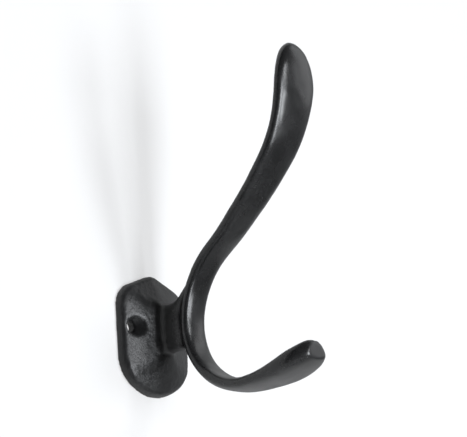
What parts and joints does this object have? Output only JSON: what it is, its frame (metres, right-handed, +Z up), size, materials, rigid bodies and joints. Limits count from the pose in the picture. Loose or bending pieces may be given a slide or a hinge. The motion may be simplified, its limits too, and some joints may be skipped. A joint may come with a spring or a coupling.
{
  "type": "double robe hook",
  "caption": "Wall-mounted double robe hook in one casting: faceted screw plate, short neck, tall upper arm and curled lower arm with a broad tip.",
  "frame": {"origin": "on the wall plane, midway between the two screw holes", "axes": "+Y into the wall, square to the plate's back; +Z up along the upper arm; +X across the plate"},
  "size_m": [0.0372, 0.0828, 0.1267],
  "materials": {
    "casting": "satin black over fine cast grain"
  },
  "bodies": {
    "root": {"hook_casting": "casting"}
  },
  "joints": []
}
